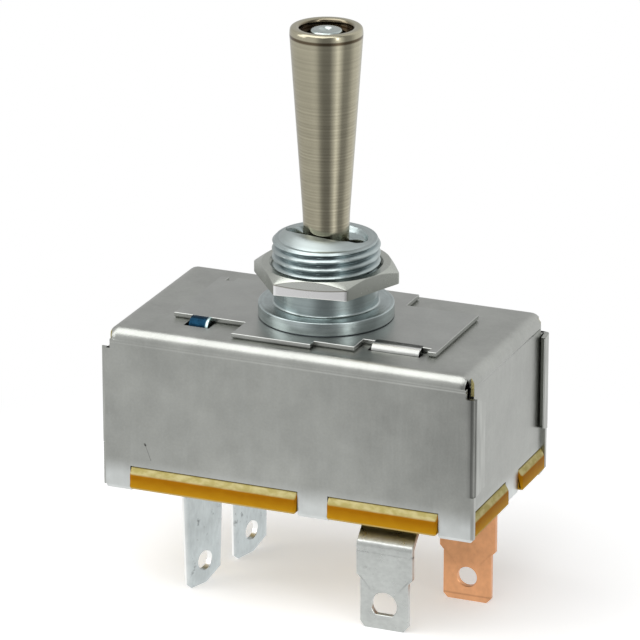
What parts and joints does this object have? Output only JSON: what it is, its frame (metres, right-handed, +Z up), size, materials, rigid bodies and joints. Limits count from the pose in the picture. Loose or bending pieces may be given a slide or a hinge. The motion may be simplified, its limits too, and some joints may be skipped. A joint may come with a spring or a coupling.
{
  "type": "panel toggle switch",
  "caption": "Panel toggle switch: folded steel case, threaded bushing with nut, tapering pull-to-unlock metal lever, and push-on blades under an amber board.",
  "frame": {"origin": "centre of the collar's upper face, where the panel rests, on the bushing's axis", "axes": "+Z up the lever, away from the case; +X along the case towards the copper blade; -Y is the front of the case, the side that shows two long stretches of board edge"},
  "size_m": [0.0498, 0.0274, 0.0728],
  "materials": {
    "case_zinc": "satin zinc plate, faintly mottled",
    "plate_zinc": "satin zinc plate with a bluish tint",
    "bushing_zinc": "bright zinc plate with a bluish tint",
    "nut_zinc": "bright zinc plate",
    "nickel": "turned and nickel plated, fine rings",
    "steel": "bright steel",
    "spring_steel": "oiled spring wire",
    "tin": "satin tin plate",
    "copper": "bare copper, satin",
    "silver_contact": "silver-faced rivet",
    "bridge_copper": "copper alloy strip",
    "phenolic": "amber phenolic sheet",
    "nylon": "moulded nylon"
  },
  "bodies": {
    "base": {"case": "case_zinc", "mounting_plate": "plate_zinc", "bushing": "bushing_zinc", "terminal_board": "phenolic", "terminal_right_front": "tin", "terminal_right_back": "copper", "terminal_left_front": "tin", "terminal_left_back": "tin", "rivet_right_front": "silver_contact", "rivet_right_back": "silver_contact", "rivet_left_front": "silver_contact", "rivet_left_back": "silver_contact"},
    "nut": {"hex_nut": "nut_zinc"},
    "lever": {"lever_rod": "steel", "pivot_pin": "steel", "lock_spring": "spring_steel", "plunger_spring": "spring_steel"},
    "sleeve": {"lever_sleeve": "nickel"},
    "plunger": {"plunger": "steel"},
    "carriage": {"slide_carriage": "nylon", "bridge_spring_front": "spring_steel", "bridge_spring_back": "spring_steel"},
    "front_bridge": {"bridge_front": "bridge_copper"},
    "back_bridge": {"bridge_back": "bridge_copper"}
  },
  "joints": [
    {"name": "lever_tilt", "type": "hinge", "parent": "base", "child": "lever", "pos_m": [0, 0, -0.0005], "axis": [0, 1, 0], "range_deg": [-13, 13]},
    {"name": "carriage_slide", "type": "slide", "parent": "base", "child": "carriage", "axis": [1, 0, 0], "range_m": [-0.00215, 0.00215]},
    {"name": "sleeve_lift", "type": "slide", "parent": "lever", "child": "sleeve", "axis": [0, 0, 1], "range_m": [0, 0.0025], "stiffness_N_per_m": 500, "springref_m": -0.008, "deforming": ["lock_spring"]},
    {"name": "plunger_travel", "type": "slide", "parent": "lever", "child": "plunger", "axis": [0, 0, 1], "range_m": [0, 0.0012], "stiffness_N_per_m": 500, "springref_m": -0.002, "deforming": ["plunger_spring"]},
    {"name": "front_bridge_float", "type": "slide", "parent": "carriage", "child": "front_bridge", "axis": [0, 0, 1], "range_m": [0, 0.0006], "stiffness_N_per_m": 300, "springref_m": -0.003, "deforming": ["bridge_spring_front"]},
    {"name": "back_bridge_float", "type": "slide", "parent": "carriage", "child": "back_bridge", "axis": [0, 0, 1], "range_m": [0, 0.0006], "stiffness_N_per_m": 300, "springref_m": -0.003, "deforming": ["bridge_spring_back"]},
    {"name": "nut_travel", "type": "slide", "parent": "base", "child": "nut", "axis": [0, 0, 1], "range_m": [-0.0024, 0.036]}
  ],
  "couplings": [
    {"joint": "lever_tilt", "follows": "carriage_slide", "rad_per_m": -105.26}
  ]
}
